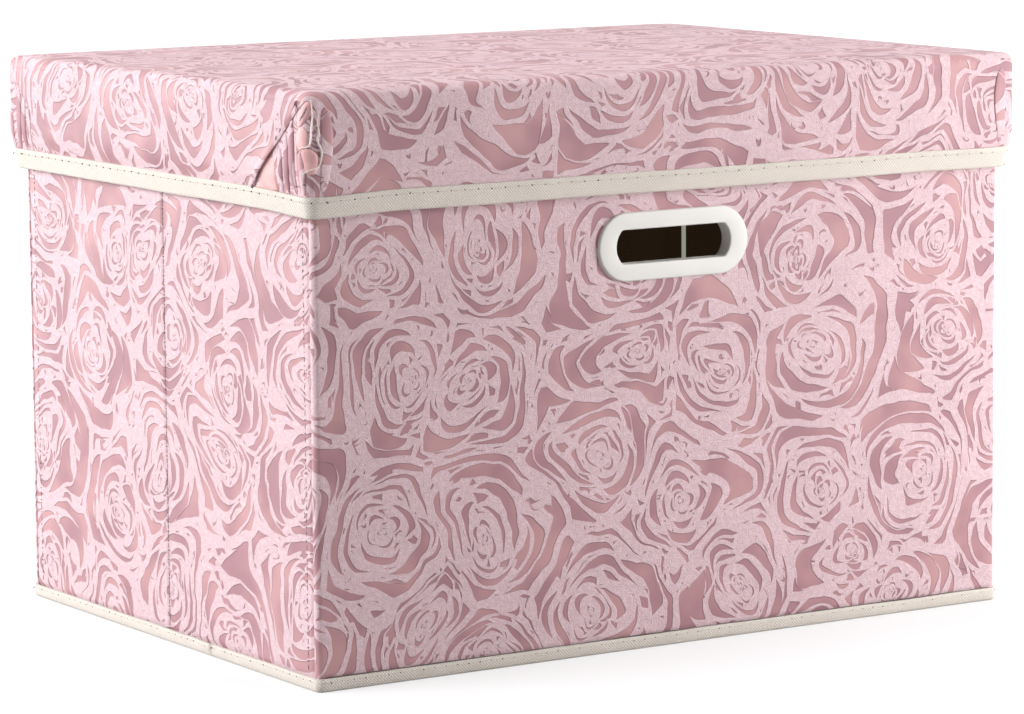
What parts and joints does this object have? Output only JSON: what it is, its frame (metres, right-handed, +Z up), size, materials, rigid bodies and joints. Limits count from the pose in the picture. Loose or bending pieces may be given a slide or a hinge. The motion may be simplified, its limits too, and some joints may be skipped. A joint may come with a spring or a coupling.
{
  "type": "storage box",
  "caption": "Cloth-covered card storage box with a lift-off lid, plastic finger grips and creased end walls, so that it folds flat.",
  "frame": {"origin": "middle of the footprint, on the surface that the box stands on", "axes": "+X along the long front wall to its right end, +Y from the front to the back, +Z up"},
  "size_m": [0.4652, 0.3452, 0.316],
  "materials": {
    "rose_cloth": "embossed non-woven cloth",
    "lining_cloth": "plain non-woven cloth",
    "cream_tape": "woven binding tape",
    "grip_plastic": "moulded, satin",
    "grey_card": "grey board"
  },
  "bodies": {
    "back_wall": {"back_board": "grey_card", "back_cover": "rose_cloth", "back_handle_frame": "grip_plastic", "back_handle_ring": "grip_plastic", "back_lining": "lining_cloth", "back_rim_binding": "cream_tape", "base_cloth": "lining_cloth", "base_insert_board": "grey_card", "base_insert_cover": "lining_cloth", "base_tape": "cream_tape"},
    "left_rear": {"left_rear_board": "grey_card", "left_rear_cover": "rose_cloth", "left_rear_lining": "lining_cloth", "left_rear_rim_binding": "cream_tape"},
    "left_front": {"left_front_board": "grey_card", "left_front_cover": "rose_cloth", "left_front_lining": "lining_cloth", "left_front_rim_binding": "cream_tape"},
    "front_wall": {"front_board": "grey_card", "front_cover": "rose_cloth", "front_handle_frame": "grip_plastic", "front_handle_ring": "grip_plastic", "front_lining": "lining_cloth", "front_rim_binding": "cream_tape"},
    "right_rear": {"right_rear_board": "grey_card", "right_rear_cover": "rose_cloth", "right_rear_lining": "lining_cloth", "right_rear_rim_binding": "cream_tape"},
    "right_front": {"right_front_board": "grey_card", "right_front_cover": "rose_cloth", "right_front_lining": "lining_cloth", "right_front_rim_binding": "cream_tape"},
    "lid": {"lid_back_board": "grey_card", "lid_cover": "rose_cloth", "lid_front_board": "grey_card", "lid_left_board": "grey_card", "lid_lining": "lining_cloth", "lid_right_board": "grey_card", "lid_tape": "cream_tape", "lid_top_board": "grey_card"}
  },
  "joints": [
    {"name": "left_corner_fold", "type": "hinge", "parent": "back_wall", "child": "left_rear", "pos_m": [-0.2207, 0.1607, 0], "axis": [0, 0, 1], "range_deg": [0, 87], "deforming": ["base_tape", "base_cloth"]},
    {"name": "left_crease_fold", "type": "hinge", "parent": "left_rear", "child": "left_front", "pos_m": [-0.225, 0, 0], "axis": [0, 0, 1], "range_deg": [-174, 0]},
    {"name": "front_wall_fold", "type": "hinge", "parent": "left_front", "child": "front_wall", "pos_m": [-0.2207, -0.1607, 0], "axis": [0, 0, 1], "range_deg": [0, 87]},
    {"name": "right_corner_fold", "type": "hinge", "parent": "back_wall", "child": "right_rear", "pos_m": [0.2207, 0.1607, 0], "axis": [0, 0, 1], "range_deg": [-87, 0]},
    {"name": "right_crease_fold", "type": "hinge", "parent": "right_rear", "child": "right_front", "pos_m": [0.225, 0, 0], "axis": [0, 0, 1], "range_deg": [0, 174]},
    {"name": "lid_lift", "type": "slide", "parent": "back_wall", "child": "lid", "axis": [0, 0, 1], "range_m": [0, 0.18]}
  ],
  "couplings": [
    {"joint": "left_crease_fold", "follows": "left_corner_fold", "ratio": -2},
    {"joint": "front_wall_fold", "follows": "left_corner_fold", "ratio": 1},
    {"joint": "right_corner_fold", "follows": "left_corner_fold", "ratio": -1},
    {"joint": "right_crease_fold", "follows": "left_corner_fold", "ratio": 2}
  ]
}
